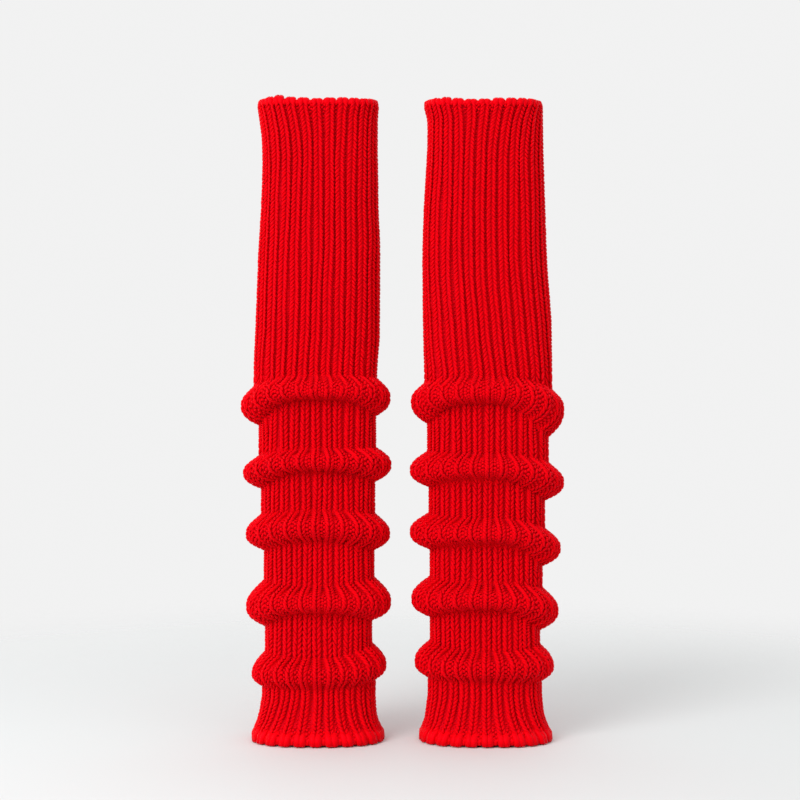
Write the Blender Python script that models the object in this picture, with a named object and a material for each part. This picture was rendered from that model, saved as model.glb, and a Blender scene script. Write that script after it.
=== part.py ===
"""Pair of slouched leg warmers in chunky one-by-one rib knit, standing open at both ends.

Each leg warmer is one tube knitted in the round, so each is one solid. Its wall is lofted through
rings: the ribs are raised in the outer points, over a plain inside. The upper half is smooth, the
lower half is pushed down into five rolls with narrow necks between them, and the hem flares.

Tables and names are in millimetres, +Z is up, the front is towards -Y and left is towards -X.
"""

import math
from collections import namedtuple

import bmesh
import bpy
import numpy as np

COLLECTION_NAME = "pair_of_leg_warmers"
MM = 0.001

# The knit
RIBS_AROUND = 26
RIB_CREST_WIDTH = 5.6
RIB_HEIGHT = 2.0
ROLL_RIB_HEIGHT = 1.6
HEM_RIB_HEIGHT = 2.6
WALL = 2.4
LIP_SCALLOP = 1.4

# The tube
LEAN_DEGREES = 4.0
SECTION_POWER = 2.6
PLAIN_DEPTH = 21.0
NECK_DEPTH = 20.5
ROLL_DEPTH = 32.5
BACK_OF_ROLL = 0.9
TUBE_SPACING = 117.6
# How late round the tube a roll droops towards its ends: at its upper edge, and at its lower one
# where that is sharp and where it is soft
DROOP_ABOVE = 2.2
DROOP_BELOW_SHARP = 4.2
DROOP_BELOW_SOFT = 2.0

SAMPLES_AROUND = 720

RED_WOOL = (0.72, 0.002, 0.012, 1.0)
WOOL_ROUGHNESS = 0.9

# Reaches and half depths are measured over the ribs' crests, from the tube's axis.

# Level sections, from the top down: height above the floor, reach of the left and right ends,
# half depth, and height of the ribs; then how much higher the ends stand than the front and back,
# how far the ribs crowd towards the ends, as a share of the girth, and by how many ribs the cloth is
# turned round the tube.
Level = namedtuple("Level", "height left right depth rib lift fan turn", defaults=(0.0, 0.0, 0.0))

# Rolls, from the top down: height of the middle of the band at the front, back, left end and right
# end, reach of its ends, half depth, how far the ends spread above and below (left and right), how
# far the front spreads above and below, and how softly it runs out below on the left half and on the
# right half, from 0 to 1.
Roll = namedtuple(
    "Roll",
    "front back left_end right_end left right depth"
    " above below_left below_right front_above front_below soft_left soft_right",
)

# One row for each ring of a roll: share of the spread above (+) or below (-) the middle of the
# band, and how far out the ring stands, from 0 at the neck to 1 at the crest, at the ends of the
# band, at a full front and at a soft one.
ProfileRow = namedtuple("ProfileRow", "rise ends full soft")
ROLL_PROFILE = (
    ProfileRow(rise=0.95, ends=0.06, full=0.14, soft=0.14),
    ProfileRow(rise=0.56, ends=0.56, full=0.70, soft=0.72),
    ProfileRow(rise=0.12, ends=0.98, full=0.97, soft=1.0),
    ProfileRow(rise=-0.36, ends=0.93, full=0.99, soft=0.84),
    ProfileRow(rise=-0.74, ends=0.44, full=0.80, soft=0.38),
    ProfileRow(rise=-0.97, ends=0.04, full=0.14, soft=0.04),
)

LEFT_TOP = (
    Level(447.0, 41.8, 40.0, 20.4, 0.9, fan=0.012),
    Level(442.2, 43.9, 42.3, 22.6, RIB_HEIGHT, fan=0.012),
    Level(420.0, 40.6, 41.5, PLAIN_DEPTH, RIB_HEIGHT, fan=0.006),
    Level(340.0, 42.4, 43.3, PLAIN_DEPTH, RIB_HEIGHT),
    Level(282.0, 44.3, 43.1, PLAIN_DEPTH, RIB_HEIGHT),
)
LEFT_ROLLS = (
    Roll(242.0, 241.0, 230.5, 236.5, 53.7, 50.4, ROLL_DEPTH, 13.0, 16.6, 15.2, 8.1, 5.6, 0.1, 0.1),
    Roll(193.0, 191.0, 183.8, 190.2, 51.7, 51.0, ROLL_DEPTH, 10.8, 12.2, 13.6, 6.6, 6.2, 0.6, 0.4),
    Roll(148.5, 149.0, 141.5, 141.5, 49.6, 50.1, ROLL_DEPTH, 13.0, 11.5, 11.5, 8.5, 10.5, 1.0, 1.0),
    Roll(97.5, 95.0, 92.5, 94.5, 49.0, 50.9, ROLL_DEPTH, 17.5, 16.5, 13.2, 8.8, 7.0, 0.3, 0.5),
    Roll(49.0, 52.0, 45.7, 51.5, 44.9, 47.6, 31.0, 14.5, 8.2, 9.5, 7.5, 11.5, 1.0, 1.0),
)
LEFT_NECKS = (
    Level(height=254.0, left=45.2, right=41.3, depth=PLAIN_DEPTH, rib=RIB_HEIGHT),
    Level(height=209.0, left=41.5, right=40.6, depth=NECK_DEPTH, rib=RIB_HEIGHT),
    Level(height=165.5, left=39.6, right=40.0, depth=NECK_DEPTH, rib=RIB_HEIGHT),
    Level(height=119.5, left=37.3, right=39.5, depth=NECK_DEPTH, rib=RIB_HEIGHT),
    Level(height=71.5, left=36.2, right=38.0, depth=NECK_DEPTH, rib=RIB_HEIGHT),
    Level(height=32.0, left=38.0, right=40.4, depth=22.0, rib=RIB_HEIGHT),
)
LEFT_HEM = (
    Level(13.0, 41.5, 42.2, 26.8, RIB_HEIGHT, fan=0.008),
    Level(4.5, 44.9, 46.3, 30.6, HEM_RIB_HEIGHT, fan=0.014),
    Level(0.0, 43.2, 44.6, 29.4, 1.8, fan=0.014),
)

RIGHT_TOP = (
    Level(446.4, 41.2, 39.4, 20.4, 0.9, fan=0.012, turn=-0.5),
    Level(441.8, 43.3, 41.2, 22.6, RIB_HEIGHT, fan=0.012, turn=-0.5),
    Level(424.0, 40.6, 41.2, PLAIN_DEPTH, RIB_HEIGHT, fan=0.008, turn=-0.5),
    Level(333.0, 44.3, 43.5, PLAIN_DEPTH, RIB_HEIGHT, turn=-0.5),
    Level(282.0, 43.8, 46.5, PLAIN_DEPTH, RIB_HEIGHT, turn=-0.3),
)
RIGHT_ROLLS = (
    Roll(240.5, 242.5, 234.0, 229.0, 52.2, 54.3, ROLL_DEPTH, 11.6, 18.8, 23.0, 9.5, 7.2, 0.1, 0.9),
    Roll(188.5, 186.0, 186.0, 177.5, 53.1, 53.9, ROLL_DEPTH, 12.5, 12.5, 14.0, 8.0, 6.5, 0.2, 1.0),
    Roll(144.0, 141.0, 143.5, 132.0, 53.2, 51.3, ROLL_DEPTH, 12.0, 13.2, 15.0, 8.5, 6.0, 0.1, 0.6),
    Roll(98.5, 102.0, 97.0, 89.0, 52.0, 49.4, ROLL_DEPTH, 14.4, 14.2, 15.5, 9.2, 6.2, 0.1, 0.9),
    Roll(53.0, 51.5, 54.0, 51.5, 49.7, 46.0, 31.0, 14.0, 10.5, 10.5, 8.2, 10.5, 1.0, 1.0),
)
RIGHT_NECKS = (
    Level(height=252.0, left=43.2, right=46.6, depth=PLAIN_DEPTH, rib=RIB_HEIGHT),
    Level(height=206.0, left=41.3, right=43.9, depth=NECK_DEPTH, rib=RIB_HEIGHT),
    Level(height=160.5, left=40.2, right=41.0, depth=NECK_DEPTH, rib=RIB_HEIGHT),
    Level(height=116.5, left=39.5, right=39.0, depth=NECK_DEPTH, rib=RIB_HEIGHT),
    Level(height=73.0, left=39.4, right=37.0, depth=NECK_DEPTH, rib=RIB_HEIGHT),
    Level(height=34.0, left=40.9, right=38.0, depth=22.0, rib=RIB_HEIGHT),
)
RIGHT_HEM = (
    Level(13.0, 43.4, 40.7, 26.8, RIB_HEIGHT, fan=0.008),
    Level(4.5, 46.8, 44.5, 30.8, HEM_RIB_HEIGHT, fan=0.014),
    Level(0.0, 45.0, 42.6, 29.6, 1.8, fan=0.014),
)

# A ring of the tube: its height at four places, its reach to the ends, its half depth in the left
# and right halves of the front and at the back, the height of its ribs, how far they crowd towards
# the ends, how far they are turned, and how late round the tube the ring droops, left and right
Ring = namedtuple(
    "Ring",
    "front back left_end right_end left right front_left front_right depth_back"
    " rib fan turn droop_left droop_right",
)


def blend(low, high, share):
    return low + (high - low) * share


def droop_of(way_down, soft):
    """How late round the tube a ring droops, so far down a roll with this softness."""
    return blend(DROOP_ABOVE, blend(DROOP_BELOW_SHARP, DROOP_BELOW_SOFT, soft), way_down)


def level_ring(level):
    """The ring of a section that lies level, or with its ends a little higher."""
    ends = level.height + level.lift
    heights = (level.height, level.height, ends, ends)
    reaches = (level.left, level.right, level.depth, level.depth, level.depth)
    droop = droop_of(0.5, 0.0)
    return Ring(*heights, *reaches, level.rib, level.fan, level.turn, droop, droop)


def roll_rings(roll, neck_above, neck_below):
    """The rings of one roll, from the neck above it to the neck below."""
    rings = []
    for number, row in enumerate(ROLL_PROFILE):
        way_down = number / (len(ROLL_PROFILE) - 1)
        above = row.rise > 0
        out_left = blend(row.full, row.soft, roll.soft_left)
        out_right = blend(row.full, row.soft, roll.soft_right)
        front_rise = row.rise * (roll.front_above if above else roll.front_below)
        neck_left = blend(neck_above.left, neck_below.left, way_down)
        neck_right = blend(neck_above.right, neck_below.right, way_down)
        neck_depth = blend(neck_above.depth, neck_below.depth, way_down)
        rings.append(
            Ring(
                front=roll.front + front_rise,
                back=roll.back + front_rise,
                left_end=roll.left_end + row.rise * (roll.above if above else roll.below_left),
                right_end=roll.right_end + row.rise * (roll.above if above else roll.below_right),
                left=blend(neck_left, roll.left, row.ends),
                right=blend(neck_right, roll.right, row.ends),
                front_left=blend(neck_depth, roll.depth, out_left),
                front_right=blend(neck_depth, roll.depth, out_right),
                depth_back=blend(neck_depth, roll.depth * BACK_OF_ROLL, (out_left + out_right) / 2),
                rib=blend(RIB_HEIGHT, ROLL_RIB_HEIGHT, row.ends),
                fan=0.0,
                turn=0.0,
                droop_left=droop_of(way_down, roll.soft_left),
                droop_right=droop_of(way_down, roll.soft_right),
            )
        )
    return rings


def tube_rings(top, rolls, necks, hem):
    """All the rings of one tube, from its top edge down to the floor."""
    rings = [level_ring(level) for level in top]
    for number, roll in enumerate(rolls):
        neck_above, neck_below = necks[number], necks[number + 1]
        rings += roll_rings(roll, neck_above, neck_below)
        rings.append(level_ring(neck_below))
    return rings + [level_ring(level) for level in hem]


def section_outline(ring):
    """A dense outline of the wall under the ribs, from the middle of the front towards the right."""
    turn = np.linspace(-math.pi / 2, 1.5 * math.pi, SAMPLES_AROUND + 1)
    along_x, along_y = np.cos(turn), np.sin(turn)
    reach_x = np.where(along_x > 0, ring.right, ring.left) - ring.rib
    front_depth = blend(ring.front_left, ring.front_right, 0.5 + 0.5 * along_x)
    reach_y = np.where(along_y > 0, ring.depth_back, front_depth) - ring.rib
    power = 2 / SECTION_POWER
    x = reach_x * np.sign(along_x) * np.abs(along_x) ** power
    y = reach_y * np.sign(along_y) * np.abs(along_y) ** power
    return x, y


def ring_points(ring, shares, crest_shift):
    """Points of the wall's base at these shares of the ring's girth, each moved along it by its shift.

    Share 0 is at the middle of the front where the ribs aren't turned.
    """
    x, y = section_outline(ring)
    walked = np.concatenate([[0.0], np.cumsum(np.hypot(np.diff(x), np.diff(y)))])
    girth = walked[-1]
    middle = (ring.right - ring.left) / 2
    fanned = shares + ring.fan * np.sin(4 * math.pi * shares) + ring.turn / RIBS_AROUND
    wanted = (fanned * girth + middle + crest_shift) % girth
    px, py = np.interp(wanted, walked, x), np.interp(wanted, walked, y)
    towards_end = np.abs(px) / np.where(px > 0, ring.right, ring.left)
    middle_depth = blend(ring.front_left, ring.front_right, 0.5)
    towards_back = 0.5 + 0.5 * py / np.where(py > 0, ring.depth_back, middle_depth)
    end_height = np.where(px > 0, ring.right_end, ring.left_end)
    middle_height = blend(ring.front, ring.back, towards_back)
    droop = np.where(px > 0, ring.droop_right, ring.droop_left)
    pz = blend(middle_height, end_height, towards_end**droop)
    py = py + pz * math.tan(math.radians(LEAN_DEGREES))
    return np.stack([px, py, pz], axis=1)


def outward(points):
    """Unit normals of a grid of points, level at its first and last rings."""
    around = np.roll(points, -1, axis=1) - np.roll(points, 1, axis=1)
    upward = np.empty_like(points)
    upward[1:-1] = points[:-2] - points[2:]
    upward[0] = points[0] - points[1]
    upward[-1] = points[-2] - points[-1]
    normals = np.cross(around, upward)
    normals[[0, -1], :, 2] = 0.0
    return normals / np.linalg.norm(normals, axis=2, keepdims=True)


def wall_points(rings):
    """The grids of the wall's ribbed outside and its plain inside, both from the top ring down."""
    middles = np.arange(RIBS_AROUND) / RIBS_AROUND
    shares = np.stack([middles, middles, middles + 0.5 / RIBS_AROUND], axis=1).ravel()
    half_crest = RIB_CREST_WIDTH / 2
    crest_shift = np.tile([-half_crest, half_crest, 0.0], RIBS_AROUND)
    on_crest = np.tile([1.0, 1.0, 0.0], RIBS_AROUND)
    base = np.array([ring_points(ring, shares, crest_shift) for ring in rings])
    rib_heights = np.array([ring.rib for ring in rings])[:, None] * on_crest
    outside = base + outward(base) * rib_heights[:, :, None]
    outside[0, :, 2] -= LIP_SCALLOP * (1.0 - on_crest)

    plain = np.array([ring_points(ring, middles, 0.0) for ring in rings])
    inside = plain - outward(plain) * WALL
    inside[0, :, 2] -= LIP_SCALLOP / 2
    return outside, inside


def add_loft(mesh, grid, facing_out):
    """Adds the points of a grid and the faces between its rings, and returns the points."""
    rows = [[mesh.verts.new(point) for point in ring * MM] for ring in grid]
    for upper, lower in zip(rows, rows[1:]):
        for number in range(len(upper)):
            corners = [upper[number - 1], lower[number - 1], lower[number], upper[number]]
            mesh.faces.new(corners if facing_out else corners[::-1])
    return rows


def add_edge_strip(mesh, outer, inner, facing_up):
    """Closes the wall's edge between an outer ring of three points a rib and an inner ring of one."""
    for rib in range(len(inner)):
        crest_start, crest_end, valley = outer[3 * rib : 3 * rib + 3]
        next_crest = outer[(3 * rib + 3) % len(outer)]
        own, following = inner[rib], inner[(rib + 1) % len(inner)]
        pieces = (
            [own, crest_start, crest_end],
            [own, crest_end, valley, following],
            [following, valley, next_crest],
        )
        for corners in pieces:
            mesh.faces.new(corners if facing_up else corners[::-1])


def wool_material(name):
    material = bpy.data.materials.new(name)
    material.use_nodes = True
    material.diffuse_color = RED_WOOL
    shader = material.node_tree.nodes["Principled BSDF"]
    shader.inputs["Base Color"].default_value = RED_WOOL
    shader.inputs["Roughness"].default_value = WOOL_ROUGHNESS
    shader.inputs["Metallic"].default_value = 0.0
    return material


def leg_warmer(name, rings, axis_x, parent, collection):
    """One ribbed tube as an object of its own, standing on its hem."""
    outside, inside = wall_points(rings)
    shape = bmesh.new()
    outer_rows = add_loft(shape, outside, facing_out=True)
    inner_rows = add_loft(shape, inside, facing_out=False)
    add_edge_strip(shape, outer_rows[0], inner_rows[0], facing_up=True)
    add_edge_strip(shape, outer_rows[-1], inner_rows[-1], facing_up=False)
    mesh = bpy.data.meshes.new(name)
    shape.to_mesh(mesh)
    shape.free()
    mesh.shade_smooth()
    mesh.set_sharp_from_angle(angle=math.radians(50))
    mesh.materials.append(wool_material(name + "_red_wool"))
    warmer = bpy.data.objects.new(name, mesh)
    warmer.location.x = axis_x * MM
    warmer.parent = parent
    collection.objects.link(warmer)
    return warmer


def centre_on_origin(parent, warmers):
    """Moves the parent so that the pair's box is centred over the origin."""
    points = np.array([warmer.location + corner.co for warmer in warmers for corner in warmer.data.vertices])
    middle = (points.min(axis=0) + points.max(axis=0)) / 2
    parent.location = (-middle[0], -middle[1], 0.0)


def build():
    for old in list(bpy.data.objects):
        bpy.data.objects.remove(old)
    collection = bpy.data.collections.new(COLLECTION_NAME)
    bpy.context.scene.collection.children.link(collection)
    parent = bpy.data.objects.new("leg_warmers_frame", None)
    collection.objects.link(parent)
    left = tube_rings(LEFT_TOP, LEFT_ROLLS, LEFT_NECKS, LEFT_HEM)
    right = tube_rings(RIGHT_TOP, RIGHT_ROLLS, RIGHT_NECKS, RIGHT_HEM)
    warmers = [
        leg_warmer("leg_warmer_left", left, -TUBE_SPACING / 2, parent, collection),
        leg_warmer("leg_warmer_right", right, TUBE_SPACING / 2, parent, collection),
    ]
    centre_on_origin(parent, warmers)


build()
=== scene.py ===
"""Looks of a pair of slouched leg warmers in chunky one-by-one rib knit of bright red wool.

The wall of each leg warmer is a thin closed shell. On it every loop leg and purl bump is a small
plump shape of its own, placed by rib and by row of stitches, and they are joined into a few meshes.

Tables and names are in millimetres, +Z is up, the front is towards -Y and left is towards -X.
"""

import math
from collections import namedtuple

import bpy
import numpy as np
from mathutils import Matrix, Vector


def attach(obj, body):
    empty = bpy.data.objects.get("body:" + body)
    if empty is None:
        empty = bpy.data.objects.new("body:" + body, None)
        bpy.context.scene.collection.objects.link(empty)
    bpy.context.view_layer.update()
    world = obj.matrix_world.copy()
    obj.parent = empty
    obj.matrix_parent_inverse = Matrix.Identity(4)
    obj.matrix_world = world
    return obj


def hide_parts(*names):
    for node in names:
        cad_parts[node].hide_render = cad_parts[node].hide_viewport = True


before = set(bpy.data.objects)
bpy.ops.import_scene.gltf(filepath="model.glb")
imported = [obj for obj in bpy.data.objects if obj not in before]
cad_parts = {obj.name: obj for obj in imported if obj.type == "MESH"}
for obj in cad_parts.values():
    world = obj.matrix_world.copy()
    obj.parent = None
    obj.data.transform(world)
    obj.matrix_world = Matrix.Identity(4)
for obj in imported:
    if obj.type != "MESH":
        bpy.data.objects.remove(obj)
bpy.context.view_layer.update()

MM = 0.001

# The knit
RIBS_AROUND = 26
ROW_HEIGHT = 2.8
WALL = 2.4
RIB_HEIGHT = 2.0
ROLL_RIB_HEIGHT = 1.6
HEM_RIB_HEIGHT = 2.4
# How many rows of the inside the cloth has, down from the top edge and up from the hem
ROWS_INSIDE = 14
HEM_ROWS_INSIDE = 4

# The tube
LEAN_DEGREES = 4.0
# A level section is an oval of this power: 2 is an ellipse, and more is squarer.
SECTION_POWER = 2.6
PLAIN_DEPTH = 21.0
NECK_DEPTH = 20.5
ROLL_DEPTH = 32.5
# Half depth of a roll at the back, as a share of its half depth at the front
BACK_OF_ROLL = 0.9
# How late round the tube a roll droops towards its ends: at its upper edge, and at its lower one
# where that is sharp and where it is soft
DROOP_ABOVE = 2.2
DROOP_BELOW_SHARP = 4.2
DROOP_BELOW_SOFT = 2.0

# Where the axes of the tubes meet the floor
LEFT_AXIS = (-59.1, -11.6)
RIGHT_AXIS = (58.5, -11.6)

# The cloth is sampled this finely, and the stitches read their places from those samples.
SAMPLES_AROUND = 720
STEPS_A_RIB = 12
STEPS_A_ROW = 4
TRIES_DOWN = 1200

# Reaches and half depths are measured over the ribs' crests, from the tube's axis.

# Level sections, from the top down: height above the floor, reach of the left and right ends,
# half depth, and height of the ribs; then how much higher the ends stand than the front and back,
# how far the ribs crowd towards the ends, as a share of the girth, and by how many ribs the cloth is
# turned round the tube.
Level = namedtuple("Level", "height left right depth rib lift fan turn", defaults=(0.0, 0.0, 0.0))

# Rolls, from the top down: height of the middle of the band at the front, back, left end and right
# end, reach of its ends, half depth, how far the ends spread above and below (left and right), how
# far the front spreads above and below, and how softly it runs out below on the left half and on the
# right half, from 0 to 1.
Roll = namedtuple(
    "Roll",
    "front back left_end right_end left right depth"
    " above below_left below_right front_above front_below soft_left soft_right",
)

# One row for each ring of a roll: share of the spread above (+) or below (-) the middle of the
# band, and how far out the ring stands, from 0 at the neck to 1 at the crest, at the ends of the
# band, at a full front and at a soft one.
ProfileRow = namedtuple("ProfileRow", "rise ends full soft")
ROLL_PROFILE = (
    ProfileRow(rise=1.0, ends=0.0, full=0.0, soft=0.0),
    ProfileRow(rise=0.90, ends=0.09, full=0.22, soft=0.22),
    ProfileRow(rise=0.66, ends=0.42, full=0.60, soft=0.62),
    ProfileRow(rise=0.36, ends=0.79, full=0.86, soft=0.90),
    ProfileRow(rise=0.08, ends=0.98, full=0.97, soft=1.0),
    ProfileRow(rise=-0.22, ends=0.99, full=1.0, soft=0.94),
    ProfileRow(rise=-0.50, ends=0.80, full=0.97, soft=0.72),
    ProfileRow(rise=-0.74, ends=0.44, full=0.82, soft=0.38),
    ProfileRow(rise=-0.91, ends=0.12, full=0.45, soft=0.11),
    ProfileRow(rise=-1.0, ends=0.0, full=0.0, soft=0.0),
)

LEFT_TOP = (
    Level(442.2, 43.9, 42.3, 22.6, RIB_HEIGHT, lift=2.0, fan=0.014),
    Level(430.0, 42.0, 41.5, PLAIN_DEPTH, RIB_HEIGHT, lift=1.2, fan=0.008),
    Level(417.0, 40.4, 41.5, PLAIN_DEPTH, RIB_HEIGHT, fan=0.003),
    Level(402.0, 40.0, 41.7, PLAIN_DEPTH, RIB_HEIGHT),
    Level(371.0, 40.8, 42.1, PLAIN_DEPTH, RIB_HEIGHT),
    Level(340.0, 42.4, 43.3, PLAIN_DEPTH, RIB_HEIGHT),
    Level(282.0, 44.3, 43.1, PLAIN_DEPTH, RIB_HEIGHT),
)
LEFT_ROLLS = (
    Roll(242.0, 241.0, 230.5, 236.5, 53.7, 50.4, ROLL_DEPTH, 13.0, 16.6, 15.2, 8.1, 5.6, 0.1, 0.1),
    Roll(193.0, 191.0, 183.8, 190.2, 51.7, 51.0, ROLL_DEPTH, 10.8, 12.2, 13.6, 6.6, 6.2, 0.6, 0.4),
    Roll(148.5, 149.0, 141.5, 141.5, 49.6, 50.1, ROLL_DEPTH, 13.0, 11.5, 11.5, 8.5, 10.5, 1.0, 1.0),
    Roll(97.5, 95.0, 92.5, 94.5, 49.0, 50.9, ROLL_DEPTH, 17.5, 16.5, 13.2, 8.8, 7.0, 0.3, 0.5),
    Roll(49.0, 52.0, 45.7, 51.5, 44.9, 47.6, 31.0, 14.5, 8.2, 9.5, 7.5, 11.5, 1.0, 1.0),
)
LEFT_NECKS = (
    Level(height=254.0, left=45.2, right=41.3, depth=PLAIN_DEPTH, rib=RIB_HEIGHT),
    Level(height=209.0, left=41.5, right=40.6, depth=NECK_DEPTH, rib=RIB_HEIGHT),
    Level(height=165.5, left=39.6, right=40.0, depth=NECK_DEPTH, rib=RIB_HEIGHT),
    Level(height=119.5, left=37.3, right=39.5, depth=NECK_DEPTH, rib=RIB_HEIGHT),
    Level(height=71.5, left=36.2, right=38.0, depth=NECK_DEPTH, rib=RIB_HEIGHT),
    Level(height=32.0, left=38.0, right=40.4, depth=22.0, rib=RIB_HEIGHT),
)
LEFT_HEM = (
    Level(21.0, 39.5, 40.8, 23.8, RIB_HEIGHT, fan=0.004),
    Level(13.0, 41.5, 42.2, 26.8, RIB_HEIGHT, fan=0.008),
    Level(7.6, 44.0, 44.9, 30.0, HEM_RIB_HEIGHT, fan=0.012),
    Level(3.6, 44.8, 46.2, 31.6, HEM_RIB_HEIGHT, fan=0.014),
)

RIGHT_TOP = (
    Level(441.8, 43.3, 41.2, 22.6, RIB_HEIGHT, lift=2.0, fan=0.018, turn=0.0),
    Level(430.0, 40.6, 41.2, PLAIN_DEPTH, RIB_HEIGHT, lift=1.2, fan=0.008, turn=-0.3),
    Level(417.0, 40.7, 41.3, PLAIN_DEPTH, RIB_HEIGHT, fan=0.003, turn=-0.45),
    Level(402.0, 41.4, 41.6, PLAIN_DEPTH, RIB_HEIGHT, turn=-0.5),
    Level(371.0, 43.2, 42.4, PLAIN_DEPTH, RIB_HEIGHT, turn=-0.5),
    Level(333.0, 44.3, 43.5, PLAIN_DEPTH, RIB_HEIGHT, turn=-0.5),
    Level(282.0, 43.8, 46.5, PLAIN_DEPTH, RIB_HEIGHT, turn=-0.3),
)
RIGHT_ROLLS = (
    Roll(240.5, 242.5, 234.0, 229.0, 52.2, 54.3, ROLL_DEPTH, 11.6, 18.8, 23.0, 9.5, 7.2, 0.1, 0.9),
    Roll(188.5, 186.0, 186.0, 177.5, 53.1, 53.9, ROLL_DEPTH, 12.5, 12.5, 14.0, 8.0, 6.5, 0.2, 1.0),
    Roll(144.0, 141.0, 143.5, 132.0, 53.2, 51.3, ROLL_DEPTH, 12.0, 13.2, 15.0, 8.5, 6.0, 0.1, 0.6),
    Roll(98.5, 102.0, 97.0, 89.0, 52.0, 49.4, ROLL_DEPTH, 14.4, 14.2, 15.5, 9.2, 6.2, 0.1, 0.9),
    Roll(53.0, 51.5, 54.0, 51.5, 49.7, 46.0, 31.0, 14.0, 10.5, 10.5, 8.2, 10.5, 1.0, 1.0),
)
RIGHT_NECKS = (
    Level(height=252.0, left=43.2, right=46.6, depth=PLAIN_DEPTH, rib=RIB_HEIGHT),
    Level(height=206.0, left=41.3, right=43.9, depth=NECK_DEPTH, rib=RIB_HEIGHT),
    Level(height=160.5, left=40.2, right=41.0, depth=NECK_DEPTH, rib=RIB_HEIGHT),
    Level(height=116.5, left=39.5, right=39.0, depth=NECK_DEPTH, rib=RIB_HEIGHT),
    Level(height=73.0, left=39.4, right=37.0, depth=NECK_DEPTH, rib=RIB_HEIGHT),
    Level(height=34.0, left=40.9, right=38.0, depth=22.0, rib=RIB_HEIGHT),
)
RIGHT_HEM = (
    Level(21.0, 42.2, 38.9, 23.8, RIB_HEIGHT, fan=0.004),
    Level(13.0, 43.4, 40.7, 26.8, RIB_HEIGHT, fan=0.008),
    Level(7.6, 45.8, 43.4, 30.2, HEM_RIB_HEIGHT, fan=0.012),
    Level(3.6, 46.8, 44.6, 31.8, HEM_RIB_HEIGHT, fan=0.014),
)

# A ring of the tube: its height at four places, its reach to the ends, its half depth in the left
# and right halves of the front and at the back, the height of its ribs, how far they crowd towards
# the ends, how far they are turned, and how late round the tube the ring droops, left and right
Ring = namedtuple(
    "Ring",
    "front back left_end right_end left right front_left front_right depth_back"
    " rib fan turn droop_left droop_right",
)

# The lumps along a rolled edge, one for each rib: how far the wall rises there between the ribs and
# at their middles, how unevenly, and which ribs stand taller than the rest, by how much.
Lumps = namedtuple("Lumps", "low high unevenness taller")
TOP_LUMPS = Lumps(low=0.6, high=1.7, unevenness=0.35, taller={})
LEFT_TOP_LUMPS = TOP_LUMPS._replace(taller={-5: 0.5, -4: 1.6, -3: 3.2, -2: 2.0, -1: 0.9, 2: 0.4, 3: 0.7})
RIGHT_TOP_LUMPS = TOP_LUMPS._replace(taller={-4: 0.9, -3: 1.7, -2: 0.9, 1: 0.5, 2: 0.8, 3: 0.8})
HEM_LUMPS = Lumps(low=0.8, high=1.9, unevenness=0.1, taller={})
# How full a lump is: 1 follows a plain wave, and less than 1 is fuller
LUMP_POWER = 0.7


def blend(low, high, share):
    return low + (high - low) * share


def unit(vectors):
    return vectors / np.linalg.norm(vectors, axis=-1, keepdims=True)


def droop_of(way_down, soft):
    """How late round the tube a ring droops, so far down a roll with this softness."""
    return blend(DROOP_ABOVE, blend(DROOP_BELOW_SHARP, DROOP_BELOW_SOFT, soft), way_down)


def level_ring(level):
    """The ring of a section that lies level, or with its ends a little higher."""
    ends = level.height + level.lift
    heights = (level.height, level.height, ends, ends)
    reaches = (level.left, level.right, level.depth, level.depth, level.depth)
    droop = droop_of(0.5, 0.0)
    return Ring(*heights, *reaches, level.rib, level.fan, level.turn, droop, droop)


def roll_rings(roll, neck_above, neck_below):
    """The rings of one roll, from the neck above it to the neck below."""
    rings = []
    for number, row in enumerate(ROLL_PROFILE):
        way_down = number / (len(ROLL_PROFILE) - 1)
        above = row.rise > 0
        out_left = blend(row.full, row.soft, roll.soft_left)
        out_right = blend(row.full, row.soft, roll.soft_right)
        front_rise = row.rise * (roll.front_above if above else roll.front_below)
        neck_left = blend(neck_above.left, neck_below.left, way_down)
        neck_right = blend(neck_above.right, neck_below.right, way_down)
        neck_depth = blend(neck_above.depth, neck_below.depth, way_down)
        rings.append(
            Ring(
                front=roll.front + front_rise,
                back=roll.back + front_rise,
                left_end=roll.left_end + row.rise * (roll.above if above else roll.below_left),
                right_end=roll.right_end + row.rise * (roll.above if above else roll.below_right),
                left=blend(neck_left, roll.left, row.ends),
                right=blend(neck_right, roll.right, row.ends),
                front_left=blend(neck_depth, roll.depth, out_left),
                front_right=blend(neck_depth, roll.depth, out_right),
                depth_back=blend(neck_depth, roll.depth * BACK_OF_ROLL, (out_left + out_right) / 2),
                rib=blend(RIB_HEIGHT, ROLL_RIB_HEIGHT, row.ends),
                fan=0.0,
                turn=0.0,
                droop_left=droop_of(way_down, roll.soft_left),
                droop_right=droop_of(way_down, roll.soft_right),
            )
        )
    return rings


def tube_rings(top, rolls, necks, hem):
    """All the rings of one tube, from its top edge down to its hem."""
    rings = [level_ring(level) for level in (*top, necks[0])]
    for number, roll in enumerate(rolls):
        neck_above, neck_below = necks[number], necks[number + 1]
        rings += roll_rings(roll, neck_above, neck_below)
        rings.append(level_ring(neck_below))
    return rings + [level_ring(level) for level in hem]


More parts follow.
